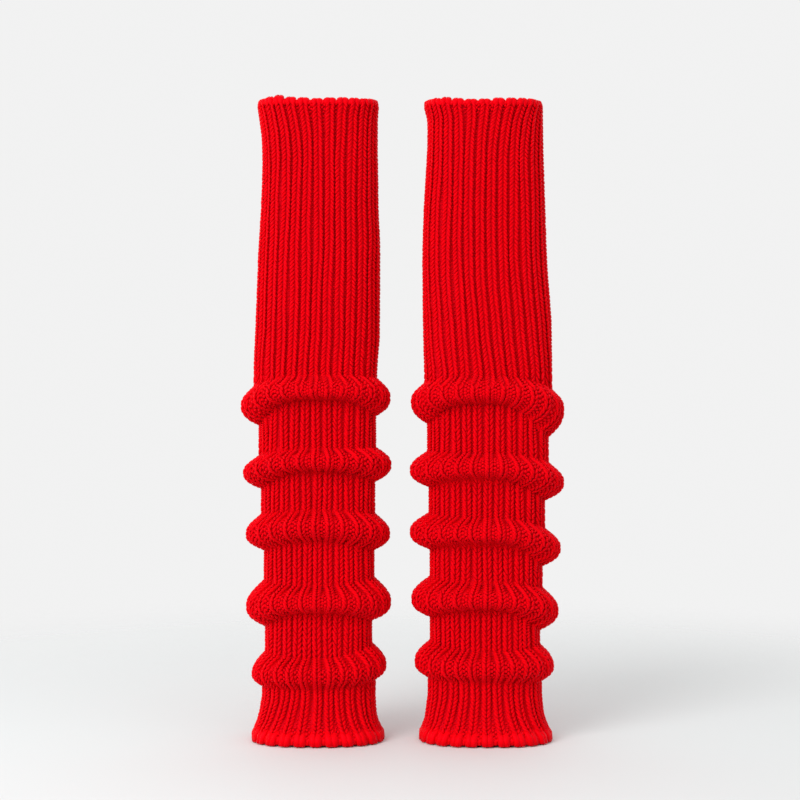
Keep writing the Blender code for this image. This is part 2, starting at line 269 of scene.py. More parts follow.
def smooth_through(places, values, wanted):
    """Rows of a smooth curve through a table of rows, at the wanted places. It never overshoots."""
    steps = np.diff(places)[:, None]
    slopes = np.diff(values, axis=0) / steps
    before, after = slopes[:-1], slopes[1:]
    same_way = before * after > 0
    safe_sum = np.where(same_way, before + after, 1.0)
    between = np.where(same_way, 2 * before * after / safe_sum, 0.0)
    tangents = np.vstack([slopes[:1], between, slopes[-1:]])
    piece = np.clip(np.searchsorted(places, wanted, side="right") - 1, 0, len(places) - 2)
    step = steps[piece]
    t = (wanted - places[piece])[:, None] / step
    start = (2 * t**3 - 3 * t**2 + 1) * values[piece] + (t**3 - 2 * t**2 + t) * step * tangents[piece]
    end = (3 * t**2 - 2 * t**3) * values[piece + 1] + (t**3 - t**2) * step * tangents[piece + 1]
    return start + end


def ring_points(ring, shares):
    """Points of the bare wall under the ribs, at these shares of the ring's girth.

    Share 0 is at the middle of the front where the ribs aren't turned.
    """
    angles = np.linspace(-math.pi / 2, 1.5 * math.pi, SAMPLES_AROUND + 1)
    along_x, along_y = np.cos(angles), np.sin(angles)
    reach_x = np.where(along_x > 0, ring.right, ring.left) - ring.rib
    front_depth = blend(ring.front_left, ring.front_right, 0.5 + 0.5 * along_x)
    reach_y = np.where(along_y > 0, ring.depth_back, front_depth) - ring.rib
    power = 2 / SECTION_POWER
    x = reach_x * np.sign(along_x) * np.abs(along_x) ** power
    y = reach_y * np.sign(along_y) * np.abs(along_y) ** power
    walked = np.concatenate([[0.0], np.cumsum(np.hypot(np.diff(x), np.diff(y)))])
    girth = walked[-1]
    middle_of_front = (ring.right - ring.left) / 2
    fanned = shares + ring.fan * np.sin(4 * math.pi * shares) + ring.turn / RIBS_AROUND
    wanted = (fanned * girth + middle_of_front) % girth
    px, py = np.interp(wanted, walked, x), np.interp(wanted, walked, y)
    towards_end = np.abs(px) / np.where(px > 0, ring.right, ring.left)
    middle_depth = blend(ring.front_left, ring.front_right, 0.5)
    towards_back = 0.5 + 0.5 * py / np.where(py > 0, ring.depth_back, middle_depth)
    end_height = np.where(px > 0, ring.right_end, ring.left_end)
    middle_height = blend(ring.front, ring.back, towards_back)
    droop = np.where(px > 0, ring.droop_right, ring.droop_left)
    pz = blend(middle_height, end_height, towards_end**droop)
    py = py + pz * math.tan(math.radians(LEAN_DEGREES))
    return np.stack([px, py, pz], axis=1)


def wall_at(rings, axis, places, wanted):
    """The bare wall at the wanted places down the tube, a row of points for each."""
    shares = np.arange(RIBS_AROUND * STEPS_A_RIB) / (RIBS_AROUND * STEPS_A_RIB)
    rows = smooth_through(places, rings, wanted)
    points = np.array([ring_points(Ring(*row), shares) for row in rows])
    points[:, :, :2] += axis
    return points


def lump_heights(lumps, rng):
    """How far a rolled edge rises at each sample round it."""
    ribs = np.arange(RIBS_AROUND * STEPS_A_RIB) / STEPS_A_RIB
    own_rib = np.round(ribs).astype(int) % RIBS_AROUND
    highs = lumps.high + rng.normal(0, lumps.unevenness, RIBS_AROUND)
    for rib, extra in lumps.taller.items():
        highs[rib] += extra
    return blend(lumps.low, highs[own_rib], np.abs(np.cos(math.pi * ribs)) ** LUMP_POWER)


# A place on the cloth: its point, and unit vectors out of the cloth, up along a rib and across it
Spot = namedtuple("Spot", "point out up across")


class Cloth:
    """The knitted wall of one leg warmer as a sampled surface, read by rib and by row of stitches.

    Rib 0 is at the middle of the front, and ribs count up towards the right. Row 0 is at the top
    edge. Rows above it run over the rolled edge and down the inside, and so do those past the hem.
    """

    def __init__(self, rings, axis, top_heights, hem_heights):
        table = np.array(rings)
        # A ring's place is how far down the tube it lies, along the two ends of the section on average
        column = Ring(*table.T)
        left_steps = np.hypot(np.diff(column.left_end), np.diff(column.left))
        right_steps = np.hypot(np.diff(column.right_end), np.diff(column.right))
        places = np.concatenate([[0.0], np.cumsum(left_steps + right_steps)]) / 2
        tries = np.linspace(0, places[-1], TRIES_DOWN)
        points = wall_at(table, axis, places, tries)
        lengths = np.linalg.norm(np.diff(points, axis=0), axis=2).mean(axis=1)
        walked = np.concatenate([[0.0], np.cumsum(lengths)])
        self.length = walked[-1]
        self.rows = round(self.length / ROW_HEIGHT)
        even = np.linspace(0, self.length, self.rows * STEPS_A_ROW + 1)
        outside = wall_at(table, axis, places, np.interp(even, walked, tries))
        self.add_edges(outside, top_heights, hem_heights)
        self.up = unit(self.steps_up(self.points))
        steps_along = (np.roll(self.points, -1, axis=1) - np.roll(self.points, 1, axis=1)) / 2
        self.out = unit(np.cross(unit(steps_along), self.up))
        self.pitches = np.linalg.norm(steps_along, axis=2) * STEPS_A_RIB

    @staticmethod
    def steps_up(values):
        """The step from each level towards the one above it."""
        return -np.gradient(values, axis=0)

    def add_edges(self, outside, top_heights, hem_heights):
        """Adds a rolled edge at each end of the outside, and some rows of the inside beyond it."""
        along = unit(np.roll(outside, -1, axis=1) - np.roll(outside, 1, axis=1))
        up = unit(self.steps_up(outside))
        out = unit(np.cross(along, up))
        inside = outside - out * WALL

        def rolled(level, heading, heights):
            """Levels over an edge, from just past the outside to the inside."""
            longest = math.pi * math.hypot(heights.mean(), WALL / 2) / math.sqrt(2)
            count = round(longest / ROW_HEIGHT * STEPS_A_ROW)
            turns = np.linspace(0, math.pi, count + 1)[1:]
            middle = outside[level] - out[level] * WALL / 2
            rise = heading * heights[:, None]
            return [middle + out[level] * WALL / 2 * math.cos(t) + rise * math.sin(t) for t in turns]

        above = rolled(0, up[0], top_heights)
        below = rolled(-1, -up[-1], hem_heights)
        inside_top = inside[ROWS_INSIDE * STEPS_A_ROW : 0 : -1]
        inside_hem = inside[-2 : -2 - HEM_ROWS_INSIDE * STEPS_A_ROW : -1]
        self.points = np.concatenate([inside_top, above[::-1], outside, below, inside_hem])
        self.first_level = len(inside_top) + len(above)
        self.top_edge_rows = len(above) / STEPS_A_ROW
        self.hem_edge_rows = len(below) / STEPS_A_ROW

    def read(self, table, ribs, rows):
        """The table's values at these ribs and rows, between its samples."""
        just_short_of_last = len(table) - 1.001
        level = np.clip(rows * STEPS_A_ROW + self.first_level, 0, just_short_of_last)
        step = ribs * STEPS_A_RIB
        low, left = np.floor(level).astype(int), np.floor(step).astype(int)
        down, across = level - low, step - left
        wide = table.shape[1]
        left, right = left % wide, (left + 1) % wide
        if table.ndim == 3:
            down, across = down[..., None], across[..., None]
        upper = blend(table[low, left], table[low, right], across)
        lower = blend(table[low + 1, left], table[low + 1, right], across)
        return blend(upper, lower, down)

    def frame(self, ribs, rows):
        """The spots on the cloth at these ribs and rows."""
        point = self.read(self.points, ribs, rows)
        out = unit(self.read(self.out, ribs, rows))
        up = self.read(self.up, ribs, rows)
        up = unit(up - out * (up * out).sum(axis=-1, keepdims=True))
        return Spot(point, out, up, np.cross(up, out))

    def pitch(self, ribs, rows):
        """Distance from rib to rib at these places."""
        return self.read(self.pitches, ribs, rows)


# Shapes of the stitches

# A plump shape: its stations from end to end, each with its place along the shape and the share of
# the full thickness there, and the number of its sides
Station = namedtuple("Station", "along thick")
Plump = namedtuple("Plump", "stations sides")
LEG_SHAPE = Plump(
    sides=5,
    stations=(
        Station(along=0.0, thick=0.0),
        Station(along=0.17, thick=0.74),
        Station(along=0.48, thick=1.0),
        Station(along=0.81, thick=0.72),
        Station(along=1.0, thick=0.0),
    ),
)
NARROW_BUMP_SHAPE = Plump(
    sides=4,
    stations=(
        Station(along=0.0, thick=0.0),
        Station(along=0.25, thick=0.9),
        Station(along=0.75, thick=0.9),
        Station(along=1.0, thick=0.0),
    ),
)
WIDE_BUMP_SHAPE = Plump(
    sides=5,
    stations=(
        Station(along=0.0, thick=0.0),
        Station(along=0.18, thick=0.72),
        Station(along=0.5, thick=1.0),
        Station(along=0.82, thick=0.72),
        Station(along=1.0, thick=0.0),
    ),
)
EDGE_SHAPE = Plump(
    sides=8,
    stations=(
        Station(along=0.0, thick=0.0),
        Station(along=0.07, thick=0.6),
        Station(along=0.2, thick=0.85),
        Station(along=0.33, thick=1.0),
        Station(along=0.46, thick=1.0),
        Station(along=0.58, thick=1.0),
        Station(along=0.7, thick=1.0),
        Station(along=0.84, thick=0.8),
        Station(along=1.0, thick=0.0),
    ),
)

# How unevenly the stitches lie: standard deviation of the place in the row, of the shift to a side,
# of the slant in degrees and of the size
Jitter = namedtuple("Jitter", "row shift slant size")
LEG_JITTER = Jitter(row=0.03, shift=0.07, slant=2.0, size=0.04)
BUMP_JITTER = Jitter(row=0.04, shift=0.08, slant=7.0, size=0.05)
EDGE_SHIFT_JITTER = 0.12
EDGE_SIZE_JITTER = 0.05

# The slow wander of each rib to and fro: rows a wave, and how far it goes
Wave = namedtuple("Wave", "rows size")
WANDER = (Wave(rows=17.0, size=0.12), Wave(rows=34.0, size=0.22), Wave(rows=71.0, size=0.3))

# The two strands of a rib: side of its middle, distance from it, size of a leg, its slant, and how
# far its upper end tucks in under the leg above
Strand = namedtuple("Strand", "side shift length width depth slant tuck")
STRANDS = (
    Strand(side=-1, shift=1.75, length=5.9, width=2.15, depth=2.6, slant=30.0, tuck=10.0),
    Strand(side=1, shift=1.70, length=5.0, width=1.95, depth=2.4, slant=27.0, tuck=12.5),
)
# How far the middle of a leg stands off the cloth, outside and inside
STRAND_HEIGHT = 0.95
STRAND_HEIGHT_INSIDE = 0.5
# The legs slant one way above this height and the other way below it.
TURN_HEIGHT = 243.0

# The fat strands over a rolled edge: where each stands between one rib, 0, and the next, 1, its
# distance from there beside the edge and on its crown, its size, and how far it stands off the
# cloth beside the edge and on its crown
EdgeStrand = namedtuple("EdgeStrand", "place shift crown_shift width depth height crown_height")
TOP_EDGE_STRANDS = (
    EdgeStrand(place=0.0, shift=-1.85, crown_shift=-1.6, width=4.6, depth=3.0, height=0.6, crown_height=0.6),
    EdgeStrand(place=0.0, shift=1.8, crown_shift=1.6, width=4.5, depth=2.9, height=0.6, crown_height=0.6),
    EdgeStrand(place=0.5, shift=0.0, crown_shift=0.0, width=3.6, depth=2.6, height=0.3, crown_height=0.3),
)
HEM_EDGE_STRANDS = (
    EdgeStrand(place=0.0, shift=-1.9, crown_shift=-1.2, width=4.8, depth=3.8, height=-0.2, crown_height=1.5),
    EdgeStrand(place=0.0, shift=1.9, crown_shift=1.2, width=4.8, depth=3.8, height=-0.2, crown_height=1.5),
    EdgeStrand(place=0.5, shift=0.0, crown_shift=0.0, width=4.0, depth=3.0, height=-2.2, crown_height=0.5),
)
# How much an edge strand widens where the ribs stand further apart: 0 is not at all, 1 is in full
EDGE_SPREAD = 0.7
# How many rows an edge strand reaches past the rolled edge: at the top, outside and inside, and at
# the hem on both sides
TOP_EDGE_ROWS_OUTSIDE = 0.7
TOP_EDGE_ROWS_INSIDE = 1.2
HEM_EDGE_ROWS = 3.0
# The ribs of the inside start this many rows over the edge from row 0, under its strands' ends.
ROWS_UNDER_EDGE = 2

# The purl bumps between two ribs, one a row where the gap is narrow and two where it is wide: place
# in the row, shift and length as shares of the gap, thickness, slant in degrees, and shape
Bump = namedtuple("Bump", "phase shift length thickness slant shape")
NARROW_BUMP = Bump(phase=0.5, shift=0.0, length=1.2, thickness=1.8, slant=6.0, shape=NARROW_BUMP_SHAPE)
WIDE_BUMPS = (
    Bump(phase=0.25, shift=-0.25, length=0.64, thickness=2.5, slant=-10.0, shape=WIDE_BUMP_SHAPE),
    Bump(phase=0.75, shift=0.25, length=0.64, thickness=2.5, slant=10.0, shape=WIDE_BUMP_SHAPE),
)
BUMP_DEPTH_SHARE = 0.9

# The gap is what a rib's width leaves of the distance from rib to rib. Bumps in a tight gap are
# sunk in full, and those in a wide one stand out, but less so at the ends of the tube's section,
# where the cloth faces sideways.
RIB_WIDTH = 6.1
TIGHT_GAP = 1.9
WIDE_GAP = 3.0
TIGHT_BUMP_SINK = 0.9
WIDE_BUMP_RISE = 0.6
WIDE_BUMP_SINK_AT_ENDS = 0.9
ENDS_BEGIN_AT = 0.5
ENDS_IN_FULL_AT = 0.9

# Relief of the wall behind the stitches, at four places a rib: middle, strand, trough, strand
OUTER_RELIEF = (0.2, 0.4, -1.3, 0.4)
INNER_RELIEF = (-1.1, 0.4, -0.3, 0.4)
PLACES_A_RIB = 4
# How much shallower a trough is where the gap is wide, and how far round that gap this comes in
WIDE_TROUGH_RISE = 1.0
WIDE_TROUGH_BLEND = 0.8
ROWS_A_LEVEL_OUTSIDE = 1.75
ROWS_A_LEVEL_INSIDE = 3.5
RIM_LEVELS = 6

# Nothing hangs lower than this
FLOOR_CLEARANCE = 0.05

# Share of each cell of the bake map that is left as a margin
CELL_MARGIN = 0.12

# The faces of one plump shape, and where the corners of each lie around it and along it
Pattern = namedtuple("Pattern", "faces places")

# Many plump shapes of one kind: a list of points for each
Batch = namedtuple("Batch", "points shape")


def pattern_of(shape):
    """The faces of a closed tube with a point at each end."""
    stations, sides = shape
    last = (len(stations) - 2) * sides + 1
    faces, places = [], []
    for side in range(sides):
        following = (side + 1) % sides
        here, after = side / sides, (side + 1) / sides
        middle = (here + after) / 2
        faces.append((0, 1 + following, 1 + side))
        places.append(((middle, 0.0), (after, stations[1].along), (here, stations[1].along)))
        faces.append((last, last - sides + side, last - sides + following))
        places.append(((middle, 1.0), (here, stations[-2].along), (after, stations[-2].along)))
        for ring in range(len(stations) - 3):
            near, far = 1 + ring * sides, 1 + (ring + 1) * sides
            low, high = stations[ring + 1].along, stations[ring + 2].along
            faces.append((near + side, near + following, far + following, far + side))
            places.append(((here, low), (after, low), (after, high), (here, high)))
    return Pattern(faces, places)


def plump_shapes(spines, sideways, outward, widths, depths, shape):
    """A batch of plump shapes, each a closed tube with pointed ends along its spine.

    A spine has a point for each station, with a unit vector sideways and one outward.
    """
    turns = np.arange(shape.sides) / shape.sides * 2 * math.pi + math.pi / 2
    parts = []
    for number, station in enumerate(shape.stations):
        spine = spines[:, number, None]
        if station.thick == 0:
            parts.append(spine)
            continue
        wide = np.cos(turns)[None, :, None] * (widths * station.thick / 2)[:, None, None]
        deep = np.sin(turns)[None, :, None] * (depths * station.thick / 2)[:, None, None]
        parts.append(spine + sideways[:, number, None] * wide + outward[:, number, None] * deep)
    points = np.concatenate(parts, axis=1)
    points[:, :, 2] = np.maximum(points[:, :, 2], FLOOR_CLEARANCE)
    return Batch(points, shape)


def new_piece(name, mesh, material):
    """An object of a finished mesh, in the finish of the red wool."""
    mesh.shade_smooth()
    mesh.materials.append(material)
    piece = bpy.data.objects.new(name, mesh)
    bpy.context.scene.collection.objects.link(piece)
    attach(piece, "root")
    return piece


def add_map(mesh, name, spots):
    """Adds a map with a spot for each corner of each face."""
    mesh.uv_layers.new(name=name).data.foreach_set("uv", spots.ravel())


def joined_mesh(name, batches, material, rng):
    """One object made of batches of plump shapes.

    Each shape has a cell of its own in the bake map. The yarn map runs once round a shape and
    once along it, and starts somewhere else on each one.
    """
    count = sum(len(batch.points) for batch in batches)
    cells = math.ceil(math.sqrt(count))
    starts = rng.uniform(0, 1, (count, 2))
    shades = rng.uniform(0, 1, count)
    points, faces, bake_spots, yarn_spots, point_shades = [], [], [], [], []
    first, base = 0, 0
    for batch in batches:
        own, each = batch.points.shape[:2]
        pattern = pattern_of(batch.shape)
        numbers = first + np.arange(own)
        corner_of_cell = np.stack([numbers % cells, numbers // cells], axis=1)[:, None]
        for face, places in zip(pattern.faces, pattern.places):
            faces += ((base + np.arange(own) * each)[:, None] + np.array(face)).tolist()
            spots = np.array(places)[None]
            in_cell = CELL_MARGIN / 2 + spots * (1 - CELL_MARGIN)
            bake_spots.append(((corner_of_cell + in_cell) / cells).reshape(-1, 2))
            yarn_spots.append((starts[numbers][:, None] + spots).reshape(-1, 2))
        points.append(batch.points.reshape(-1, 3))
        point_shades.append(np.repeat(shades[numbers], each))
        first += own
        base += own * each
    mesh = bpy.data.meshes.new(name)
    mesh.from_pydata(np.concatenate(points) * MM, [], faces)
    add_map(mesh, "OFBake", np.concatenate(bake_spots))
    add_map(mesh, "yarn", np.concatenate(yarn_spots))
    shade = mesh.attributes.new("shade", "FLOAT", "POINT")
    shade.data.foreach_set("value", np.concatenate(point_shades))
    return new_piece(name, mesh, material)


# Stitches on the cloth

def drift(rng, ribs, rows):
    """A slow uneven sideways wander of each rib, in millimetres."""
    wander = np.zeros(len(ribs))
    for wave in WANDER:
        phases = rng.uniform(0, 2 * math.pi, RIBS_AROUND)
        wander += wave.size * np.sin(2 * math.pi * rows / wave.rows + phases[ribs % RIBS_AROUND])
    return wander


def places_along(shape):
    """Where each station lies along a shape, measured from its middle."""
    return np.array([station.along - 0.5 for station in shape.stations])


def strand_legs(cloth, strand, ribs, rows, wander, height, rng):
    """The loop legs of one strand, a leg for each rib and row given, bent along the cloth."""
    pitch = cloth.pitch(ribs, rows)
    middle_rows = rows + 0.5 + rng.normal(0, LEG_JITTER.row, len(rows))
    shift = strand.side * strand.shift + wander + rng.normal(0, LEG_JITTER.shift, len(ribs))
    middle_ribs = ribs + shift / pitch
    above_turn = cloth.read(cloth.points, middle_ribs, middle_rows)[:, 2] > TURN_HEIGHT
    slant = np.radians(strand.slant + rng.normal(0, LEG_JITTER.slant, len(ribs)))
    slant *= strand.side * np.where(above_turn, -1, 1)
    size = 1 + rng.normal(0, LEG_JITTER.size, len(ribs))
    length = strand.length * size

    along = places_along(LEG_SHAPE)
    spine_rows = middle_rows[:, None] - (length * np.cos(slant))[:, None] * along / ROW_HEIGHT
    spine_ribs = middle_ribs[:, None] + (length * np.sin(slant) / pitch)[:, None] * along
    spot = cloth.frame(spine_ribs, spine_rows)
    heading = spot.up * np.cos(slant)[:, None, None] + spot.across * np.sin(slant)[:, None, None]
    sunk = math.sin(math.radians(strand.tuck)) * length[:, None] * along
    spines = spot.point + spot.out * (height - sunk)[:, :, None]
    sideways = np.cross(heading, spot.out)
    return plump_shapes(spines, sideways, spot.out, strand.width * size, strand.depth * size, LEG_SHAPE)


def edge_loops(cloth, edge_strands, first_row, last_row, rng):
    """The fat strands over a rolled edge, from the row on the outside to the one on the inside."""
    batches = []
    ribs = np.arange(RIBS_AROUND)
    along = places_along(EDGE_SHAPE) + 0.5
    rows = blend(first_row, last_row, along)
    crowning = np.sin(math.pi * along) ** 2
    for strand in edge_strands:
        middle = ribs + strand.place
        pitch = cloth.pitch(middle, np.full(len(ribs), first_row))
        spread = (pitch / pitch.mean()) ** EDGE_SPREAD
        shift = blend(strand.shift, strand.crown_shift, crowning)
        shift = shift + rng.normal(0, EDGE_SHIFT_JITTER, (len(ribs), 1))
        spine_ribs = middle[:, None] + shift * (spread / pitch)[:, None]
        spot = cloth.frame(spine_ribs, np.broadcast_to(rows, spine_ribs.shape))
        size = 1 + rng.normal(0, EDGE_SIZE_JITTER, len(ribs))
        height = blend(strand.height, strand.crown_height, crowning)
        spines = spot.point + spot.out * height[:, None]
        widths, depths = strand.width * size * spread, strand.depth * size
        batches.append(plump_shapes(spines, spot.across, spot.out, widths, depths, EDGE_SHAPE))
    return batches


def purl_bumps(cloth, ribs, rows, rng):
    """The purl bumps in the troughs: one a row where the trough is narrow, two where it is wide."""
    gap = cloth.pitch(ribs + 0.5, rows) - RIB_WIDTH
    wide = gap > WIDE_GAP
    sunk = np.interp(gap, (TIGHT_GAP, WIDE_GAP), (-TIGHT_BUMP_SINK, 0.0))
    facing_sideways = np.abs(cloth.read(cloth.out, ribs + 0.5, rows)[:, 0])
    at_ends = np.interp(facing_sideways, (ENDS_BEGIN_AT, ENDS_IN_FULL_AT), (0.0, 1.0))
    raised = WIDE_BUMP_RISE - WIDE_BUMP_SINK_AT_ENDS * at_ends

    def bumps(bump, keep, rise):
        """One bump for each rib and row that is kept."""
        count, stations = keep.sum(), len(bump.shape.stations)
        own_gap = gap[keep]
        shift = bump.shift * own_gap + rng.normal(0, BUMP_JITTER.shift, count)
        bump_rows = rows[keep] + bump.phase + rng.normal(0, BUMP_JITTER.row, count)
        bump_ribs = ribs[keep] + 0.5 + shift / (own_gap + RIB_WIDTH)
        spot = cloth.frame(bump_ribs, bump_rows)
        slant = np.radians(bump.slant + rng.normal(0, BUMP_JITTER.slant, count))
        direction = spot.across * np.cos(slant)[:, None] + spot.up * np.sin(slant)[:, None]
        middles = spot.point + spot.out * rise[keep][:, None]
        reaches = direction * (bump.length * own_gap)[:, None]
        spines = middles[:, None] + reaches[:, None] * places_along(bump.shape)[None, :, None]
        thick = bump.thickness * (1 + rng.normal(0, BUMP_JITTER.size, count))
        sideways = np.repeat(np.cross(spot.out, direction)[:, None], stations, axis=1)
        outward = np.repeat(spot.out[:, None], stations, axis=1)
        return plump_shapes(spines, sideways, outward, thick, thick * BUMP_DEPTH_SHARE, bump.shape)

    return [bumps(NARROW_BUMP, ~wide, sunk)] + [bumps(bump, wide, raised) for bump in WIDE_BUMPS]


def every_pair(ribs, rows):
    """Every pair of a rib and a row, as two flat lists."""
    rib, row = np.meshgrid(ribs, rows)
    return rib.ravel(), row.ravel().astype(float)


def wall_shell(name, cloth, material):
    """The closed thin wall behind the stitches: down the outside, round the hem and up the inside.

    It closes over the top edge.
    """
    around = np.arange(RIBS_AROUND * PLACES_A_RIB) / PLACES_A_RIB
    outer = np.tile(OUTER_RELIEF, RIBS_AROUND)
    inner = np.tile(INNER_RELIEF, RIBS_AROUND)
    levels = []

    def add_level(row, relief, wall=0.0):
        """Adds a level at this row: the relief on the cloth's face, or on the far side of a wall."""
        spot = cloth.frame(around, np.full(len(around), row))
        levels.append(spot.point + spot.out * (relief - wall)[:, None])

    from_narrow_to_wide = (WIDE_GAP - WIDE_TROUGH_BLEND, WIDE_GAP + WIDE_TROUGH_BLEND)
    for row in np.arange(0, cloth.rows, ROWS_A_LEVEL_OUTSIDE):
        gap = cloth.pitch(around, np.full(len(around), row)) - RIB_WIDTH
        trough_rise = WIDE_TROUGH_RISE * np.interp(gap, from_narrow_to_wide, (0.0, 1.0))
        add_level(row, np.where(outer < 0, outer + trough_rise, outer))
    for share in np.linspace(0, 1, RIM_LEVELS):
        add_level(cloth.rows + cloth.hem_edge_rows * share, blend(outer, inner, share))
    for row in np.arange(cloth.rows - ROWS_A_LEVEL_INSIDE, 0, -ROWS_A_LEVEL_INSIDE):
        add_level(row, -inner, WALL)
    for share in np.linspace(0, 1, RIM_LEVELS)[:-1]:
        add_level(cloth.top_edge_rows * (share - 1), blend(inner, outer, share))
    count, wide = len(levels), len(around)
    faces, spots = [], []
    for level in range(count):
        near, far = level * wide, (level + 1) % count * wide
        high, low = 1 - level / count, 1 - (level + 1) / count
        for step in range(wide):
            following = (step + 1) % wide
            faces.append([near + step, far + step, far + following, near + following])
            left, right = step / wide, (step + 1) / wide
            spots += [(left, high), (left, low), (right, low), (right, high)]
    mesh = bpy.data.meshes.new(name)
    mesh.from_pydata(np.concatenate(levels) * MM, [], faces)
    add_map(mesh, "OFBake", np.array(spots))
    return new_piece(name, mesh, material)


def leg_warmer(side, rings, axis, top_lumps, stitch_wool, ground_wool_painted_shade, seed):
    """All the pieces of one leg warmer."""
    rng = np.random.default_rng(seed)
    cloth = Cloth(rings, axis, lump_heights(top_lumps, rng), lump_heights(HEM_LUMPS, rng))
    shell = wall_shell(f"{side}_knit_wall", cloth, ground_wool_painted_shade)
    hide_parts(f"leg_warmer_{side}")

    ribs, rows = every_pair(np.arange(RIBS_AROUND), np.arange(cloth.rows))
    wander = drift(rng, ribs, rows)
    legs = [strand_legs(cloth, strand, ribs, rows, wander, STRAND_HEIGHT, rng) for strand in STRANDS]
    half = cloth.rows // 2
    for part, chosen in (("upper", rows < half), ("lower", rows >= half)):
        chosen_legs = [Batch(batch.points[chosen], batch.shape) for batch in legs]
        joined_mesh(f"{side}_rib_stitches_{part}", chosen_legs, stitch_wool, rng)

    bumps = purl_bumps(cloth, ribs, rows, rng)
    joined_mesh(f"{side}_purl_stitches", bumps, stitch_wool, rng)

    over_top = -cloth.top_edge_rows - TOP_EDGE_ROWS_INSIDE
    over_hem = cloth.rows + cloth.hem_edge_rows + HEM_EDGE_ROWS
    edges = edge_loops(cloth, TOP_EDGE_STRANDS, TOP_EDGE_ROWS_OUTSIDE, over_top, rng)
    above_hem = cloth.rows - HEM_EDGE_ROWS
    edges += edge_loops(cloth, HEM_EDGE_STRANDS, above_hem, over_hem, rng)
    joined_mesh(f"{side}_edge_stitches", edges, stitch_wool, rng)

    ribs, rows = every_pair(np.arange(RIBS_AROUND), np.arange(-ROWS_INSIDE, -ROWS_UNDER_EDGE))
    between = ribs + 0.5
    still = np.zeros(len(ribs))
    inner_legs = [
        strand_legs(cloth, strand, between, rows, still, STRAND_HEIGHT_INSIDE, rng) for strand in STRANDS
    ]
    joined_mesh(f"{side}_inner_rib_stitches", inner_legs, stitch_wool, rng)


# Materials

LIT_RED = (0.80, 0.0, 0.002, 1.0)
DEEP_RED = (0.70, 0.0, 0.0015, 1.0)
# The wall behind the stitches is this darker red: painted shade for the deep gaps between them.
GROUND_PAINTED_SHADE_RED = (0.56, 0.0, 0.001, 1.0)
SHEEN_RED = (1.0, 0.12, 0.42, 1.0)
WOOL_ROUGHNESS = 0.5
WOOL_GLOSS = 0.12
NAP = 0.06
NAP_ROUGHNESS = 0.45

# The yarn's plies, and how often they wind round a stitch from its one end to the other
PLIES = 3
WINDINGS = 2

# Grains of the wool. Fibres lie on the yarn map, so many round a stitch and along it. The scale of
# fuzz, patches of dye and loops is their number in a metre.
Grain = namedtuple("Grain", "scale detail")
FIBRES = Grain(scale=1.0, detail=3.0)
FIBRE_STRETCH = (16.0, 4.0, 1.0)
FUZZ = Grain(scale=1800.0, detail=2.0)
PATCHES = Grain(scale=45.0, detail=1.0)
LOOPS = Grain(scale=420.0, detail=1.0)

# How much of a stitch's shade is its own, how much comes from the patches, and how much its fibres
# vary it
OWN_SHARE = 0.55
PATCH_SHARE = 0.45
FIBRE_SHARE = 0.5

# Fine relief: how strongly it shows, from 0 to 1, and how deep it is
Relief = namedtuple("Relief", "strength depth")
TWIST_RELIEF = Relief(strength=0.35, depth=0.15)
FIBRE_RELIEF = Relief(strength=0.5, depth=0.25)
FUZZ_RELIEF = Relief(strength=0.22, depth=0.25)
LOOP_RELIEF = Relief(strength=0.6, depth=0.8)
GROUND_FUZZ_RELIEF = Relief(strength=0.4, depth=0.25)


class Nodes:
    """Adds nodes to one material or world and links them."""

    def __init__(self, owner):
        owner.use_nodes = True
        self.owner = owner
        self.tree = owner.node_tree

    def own(self, name):
        """A node that is there from the start."""
        return self.tree.nodes[name]

    def add(self, kind, **settings):
        node = self.tree.nodes.new(kind)
        for key, value in settings.items():
            setattr(node, key, value)
        return node

    def feed(self, node, inputs):
        """Sets or links a node's inputs, each given by its name or number."""
        for which, value in inputs.items():
            socket = node.inputs[which]
            if isinstance(value, bpy.types.NodeSocket):
                self.tree.links.new(value, socket)
            else:
                socket.default_value = value
        return node

    def math(self, operation, *values):
        node = self.add("ShaderNodeMath", operation=operation)
        return self.feed(node, dict(enumerate(values))).outputs[0]

    def parts(self, vector):
        """The X, Y and Z of a vector."""
        return self.feed(self.add("ShaderNodeSeparateXYZ"), {0: vector}).outputs

    def noise(self, vector, grain):
        node = self.add("ShaderNodeTexNoise")
        inputs = {"Vector": vector, "Scale": grain.scale, "Detail": grain.detail}
        return self.feed(node, inputs).outputs["Fac"]

    def bump(self, height, relief, below=None):
        """The surface's direction under this relief, on top of the relief below it if one is given."""
        node = self.add("ShaderNodeBump")
        self.feed(node, {"Height": height, "Strength": relief.strength, "Distance": relief.depth * MM})
        if below is not None:
            self.feed(node, {"Normal": below})
        return node.outputs["Normal"]

    def colour(self, share, low, high):
        node = self.add("ShaderNodeMix", data_type="RGBA")
        return self.feed(node, {"Factor": share, "A": low, "B": high}).outputs["Result"]

    def shaders(self, share, first, second):
        """A mix of two shaders, with this share of the second."""
        node = self.add("ShaderNodeMixShader")
        return self.feed(node, {0: share, 1: first, 2: second}).outputs["Shader"]


def woollen(nodes, colour, normal):
    """Sets a material's shader to soft wool of this colour and relief."""
    wool = {
        "Base Color": colour,
        "Normal": normal,
        "Roughness": WOOL_ROUGHNESS,
        "Specular IOR Level": WOOL_GLOSS,
        "Specular Tint": SHEEN_RED,
        "Sheen Weight": NAP,
        "Sheen Roughness": NAP_ROUGHNESS,
        "Sheen Tint": SHEEN_RED,
    }
    nodes.feed(nodes.own("Principled BSDF"), wool)
    return nodes.owner


